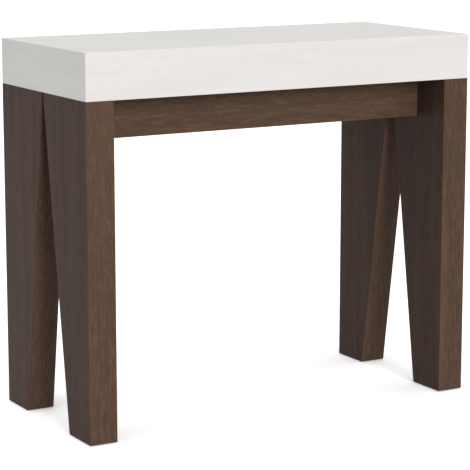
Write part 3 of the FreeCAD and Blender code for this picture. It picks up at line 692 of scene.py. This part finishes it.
def cams():
    """Cast cams that draw the aprons to the legs: crossed slot, pointer and a mouth for the bolt."""
    rim, slot_reach, slot_half_width, slot_depth = 0.5 * MM, 4.2 * MM, 0.85 * MM, 3 * MM
    pointer_radius, pointer_length, pointer_place = 1.5 * MM, 1.6 * MM, (5.3 * MM, 0, 0)
    pointer_turn, left_turn = (90, 30, 0), (0, 180, 0)
    low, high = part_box("front_apron_cams")
    deep = high.y - low.y
    rod(CAM_RADIUS, deep, (0, -deep / 2, 0), ALONG_Y)
    pick("EDGE", lambda e: all_at(e, "Y", 0))
    ease(rim)
    model = keep()
    for wide, tall in ((slot_reach, slot_half_width), (slot_half_width, slot_reach)):
        corner = Vector((wide, slot_depth, tall))
        block(-corner, corner)
        carve(model)
    rod(pointer_radius, pointer_length, pointer_place, pointer_turn, sides=3)
    carve(model)
    apron_low, apron_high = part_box("front_apron")
    bolt_line = (apron_low.y + apron_high.y) / 2 - high.y
    bore(model, CAM_BOLT_RADIUS, (0, bolt_line, 0), (CAM_RADIUS, bolt_line, 0), ALONG_X)
    done(model, "cam", cast_zinc)
    (left, _), (right, _) = standing("front_apron_cams", CAM_RADIUS, 2, 1, (low.z + high.z) / 2)
    places = [((left[0], high.y, left[2]), left_turn), ((right[0], high.y, right[2]), UPRIGHT)]
    fit_both(set_of(model, "front_cams", places), "front_apron_cams")
    bpy.data.objects.remove(model)


def bolt():
    """A hanger bolt that stands on the origin, with a rolled thread at its top."""
    turns, pitch, crest, root_share, tip = 11, 1.25 * MM, 3.95 * MM, 0.86, 0.2 * MM
    low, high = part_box("front_leg_bolts")
    plain = high.z - low.z - turns * pitch - tip
    rod(crest, plain, (0, 0, plain / 2), sides=SLIM_SIDES)
    pick("FACE", lambda f: all_at(f, "Z", plain))
    for _ in range(turns):
        draw_up(pitch / 2, root_share)
        draw_up(pitch / 2, 1 / root_share)
    draw_up(tip, root_share)
    return done(keep(), "bolt", zinc_steel)


def washer():
    """A broad flat washer on the origin, with rounded rims."""
    hole, thick, rim, sharp = 4.2 * MM, 2 * MM, 0.3 * MM, math.radians(60)
    rod(WASHER_RADIUS, thick, (0, 0, thick / 2))
    pick("FACE", lambda f: all_at(f, "Z", 0) or all_at(f, "Z", thick))
    bpy.ops.mesh.inset(thickness=WASHER_RADIUS - hole, use_individual=True)
    bpy.ops.mesh.delete(type="FACE")
    pick("EDGE", lambda e: e.is_boundary)
    bpy.ops.mesh.bridge_edge_loops()
    pick("EDGE", lambda e: e.calc_face_angle(0) > sharp and reach(e, "Z") < TOUCH)
    ease(rim)
    return done(keep(), "washer", zinc_steel)


def nut():
    """A hexagon nut on the origin, with turned corners and a bore."""
    across_flats, thick, corner_cut = 13 * MM, 6.5 * MM, 0.9 * MM
    corner = across_flats / math.sqrt(3)
    rod(corner, thick, (0, 0, thick / 2), sides=6)
    model = keep()
    rod(corner + TOUCH, thick, (0, 0, thick / 2))
    pick("EDGE", lambda e: reach(e, "Z") < TOUCH)
    ease(corner_cut, 1)
    carve(model, "INTERSECT")
    rod(BOLT_RADIUS, 3 * thick)
    carve(model)
    return done(model, "nut", zinc_steel)


def leg_bolts():
    """The bolts of the legs, each with its washer and nut above the leg plate."""
    for kind, model in (("bolts", bolt()), ("washers", washer()), ("nuts", nut())):
        node = f"front_leg_{kind}"
        places = standing("front_leg_washers", WASHER_RADIUS, 2, 2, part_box(node)[0].z)
        fit_both(set_of(model, f"front_{kind}", places), node)
        bpy.data.objects.remove(model)


def floor_glides():
    """Moulded discs with a rounded rim, each on a shank that is driven into the leg."""
    thick, rim = 2 * MM, 0.9 * MM
    low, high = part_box("front_floor_glides")
    rod(GLIDE_RADIUS, thick, (0, 0, thick / 2))
    pick("FACE", lambda f: all_at(f, "Z", thick))
    bpy.ops.mesh.inset(thickness=GLIDE_RADIUS - GLIDE_SHANK_RADIUS)
    draw_up(high.z - low.z - thick)
    pick("EDGE", lambda e: all_at(e, "Z", 0))
    ease(rim)
    model = done(keep(), "glide", brown_plastic)
    places = standing("front_floor_glides", GLIDE_RADIUS, 2, 2, low.z)
    fit_both(set_of(model, "front_glides", places), "front_floor_glides")
    bpy.data.objects.remove(model)


def pan_screw(head, crown, shank, length):
    """A pan-head screw with a crossed slot, its shank up from the origin and its head below."""
    straight, point, tip_share, dome = 0.9 * length, 0.1 * length, 0.2, 0.5 * crown
    slot_reach, slot_half_width, slot_end = 0.55 * head, 0.12 * head, -0.45 * crown
    rod(head, crown, (0, 0, -crown / 2), sides=SLIM_SIDES)
    pick("FACE", lambda f: all_at(f, "Z", 0))
    bpy.ops.mesh.inset(thickness=head - shank)
    draw_up(straight)
    draw_up(point, tip_share)
    pick("EDGE", lambda e: all_at(e, "Z", -crown))
    ease(dome, 4)
    model = keep()
    for wide, deep in ((slot_reach, slot_half_width), (slot_half_width, slot_reach)):
        block(Vector((-wide, -deep, -2 * crown)), Vector((wide, deep, slot_end)))
        carve(model)
    return done(model, "screw", zinc_steel)


def screws():
    """The long screws that hold the bearers up to the half tops, and the short ones of the guides."""
    long_screw = pan_screw(LONG_HEAD, LONG_CROWN, LONG_SHANK, LONG_LENGTH)
    short_screw = pan_screw(SHORT_HEAD, SHORT_CROWN, SHORT_SHANK, SHORT_LENGTH)
    for half in HALVES:
        node = f"{half}_bearer_screws"
        places = standing(node, LONG_HEAD, 2, 2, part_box(node)[0].z + LONG_CROWN)
        fit(set_of(long_screw, f"{half}_long_screws", places), f"{half}_half", node)

        node = f"{half}_guide_screws"
        runs = [run for side in SIDES for run in short_screw_runs(half, side)]
        places = [(seat, ALONG_X if tip.x > seat.x else AGAINST_X) for seat, tip in runs]
        fit(set_of(short_screw, f"{half}_short_screws", places), f"{half}_half", node)
    bpy.data.objects.remove(long_screw)
    bpy.data.objects.remove(short_screw)


def seam_pins():
    """Steel pins with rounded ends that line up the two half tops."""
    end_round = 1.2 * MM
    low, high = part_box("seam_pins")
    rod(PIN_RADIUS, high.y - low.y, turn=ALONG_Y, sides=SLIM_SIDES)
    pick("EDGE", lambda e: all_at(e, "Y", high.y) or all_at(e, "Y", low.y))
    ease(end_round)
    model = done(keep(), "pin", zinc_steel)
    places = standing("seam_pins", PIN_RADIUS, 3, 1, (low.z + high.z) / 2)
    fit(set_of(model, "round_ended_pins", places), "front_half", "seam_pins")
    bpy.data.objects.remove(model)


def guides():
    """The telescopic guides as extruded: the die leaves every long edge of the section slightly round."""
    die_round, long_edge, one_corner, one_plane = 0.4 * MM, 300 * MM, 0.001 * MM, math.radians(1)
    for name, node in frame["nodes"].items():
        if "_guide_" not in name or not name[-1].isdigit():
            continue
        piece = bpy.data.objects.new(name, node.data.copy())
        bpy.context.scene.collection.objects.link(piece)
        take(piece)
        bpy.ops.object.mode_set(mode="EDIT")
        bpy.ops.mesh.select_all(action="SELECT")
        bpy.ops.mesh.remove_doubles(threshold=one_corner)
        bpy.ops.mesh.dissolve_limited(angle_limit=one_plane)
        pick("EDGE", lambda e: reach(e, "Y") > long_edge)
        ease(die_round, 2)
        fit(done(keep(), f"{name}_extrusion", aluminium), node["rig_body"], name)


box_boards()
legs()
aprons()
dowels()
cam_bolts()
cams()
battens()
leg_bolts()
floor_glides()
screws()
seam_pins()
guides()


# Stage, light and camera

FLOOR_SIZE, FLOOR_GLOW = 120, 0.3
ROOM_STRENGTH, BACKDROP_STRENGTH = 0.42, 1.0
# Each lamp has its strength, how wide it spreads and how it is turned, in degrees, and its colour.
LAMPS = {
    "key": (2.34, 22, (75, 0, -6), "#FFF9FB"), "overhead": (1.6, 80, (0, 0, 0), "#FFFFFF"),
    "left_end": (0.62, 40, (75, 0, -90), "#FFFFFF"), "right_end": (0.6, 40, (75, 0, 90), "#FFFFFF"),
}
# The camera: its lens in millimetres, its place, and its dip and swing in degrees
LENS, FARTHEST, CAMERA_PLACE = 151.7, 200, (-2.0767, -3.6043, 1.1208)
CAMERA_DIP, CAMERA_SWING = 10.469, -29.869


def pale_floor():
    """A plain pale floor, wide enough to fill the view, that glows a little so that shadows stay soft."""
    bpy.ops.object.select_all(action="DESELECT")
    bpy.ops.mesh.primitive_plane_add(size=FLOOR_SIZE)
    floor = bpy.context.object
    floor.name = "floor"
    material, tree, _ = new_finish("pale_matt_floor")
    look = {"Base Color": linear("#F8F8F8"), "Roughness": 0.9, "Specular IOR Level": 0.1}
    look.update({"Emission Color": linear("#FFFFFF"), "Emission Strength": FLOOR_GLOW})
    add(tree, "OutputMaterial", {"Surface": add(tree, "BsdfPrincipled", look)})
    floor.data.materials.append(material)
    # The photograph shows no light from below, so the floor throws none up at the table.
    floor.visible_diffuse = False


def studio_light():
    """A pale room all round, a broad lamp overhead, a low key from the front and a weak lamp off each end."""
    world = bpy.data.worlds.new("studio")
    bpy.context.scene.world = world
    world.use_nodes = True
    tree = world.node_tree
    tree.nodes.clear()
    room = add(tree, "Background", {"Color": linear("#FEFFFD"), "Strength": ROOM_STRENGTH})
    backdrop = add(tree, "Background", {"Color": linear("#FFFFFF"), "Strength": BACKDROP_STRENGTH})
    seen = add(tree, "LightPath", {}, "Is Camera Ray")
    both = add(tree, "MixShader", {0: seen, 1: room, 2: backdrop})
    add(tree, "OutputWorld", {"Surface": both})
    for name, (strength, spread, turn, colour) in LAMPS.items():
        light = bpy.data.lights.new(name, "SUN")
        light.energy = strength
        light.angle = math.radians(spread)
        light.color = linear(colour)[:3]
        lamp = bpy.data.objects.new(name, light)
        bpy.context.scene.collection.objects.link(lamp)
        lamp.rotation_euler = [math.radians(angle) for angle in turn]


def viewpoint():
    """The camera at the photograph's angle, with the whole table just inside the frame."""
    lens = bpy.data.cameras.new("camera")
    lens.lens = LENS
    lens.clip_end = FARTHEST
    camera = bpy.data.objects.new("camera", lens)
    bpy.context.scene.collection.objects.link(camera)
    camera.location = CAMERA_PLACE
    camera.rotation_euler = (math.radians(90 - CAMERA_DIP), 0, math.radians(CAMERA_SWING))
    bpy.context.scene.camera = camera


pale_floor()
studio_light()
viewpoint()
bpy.context.scene.view_settings.view_transform = "Standard"
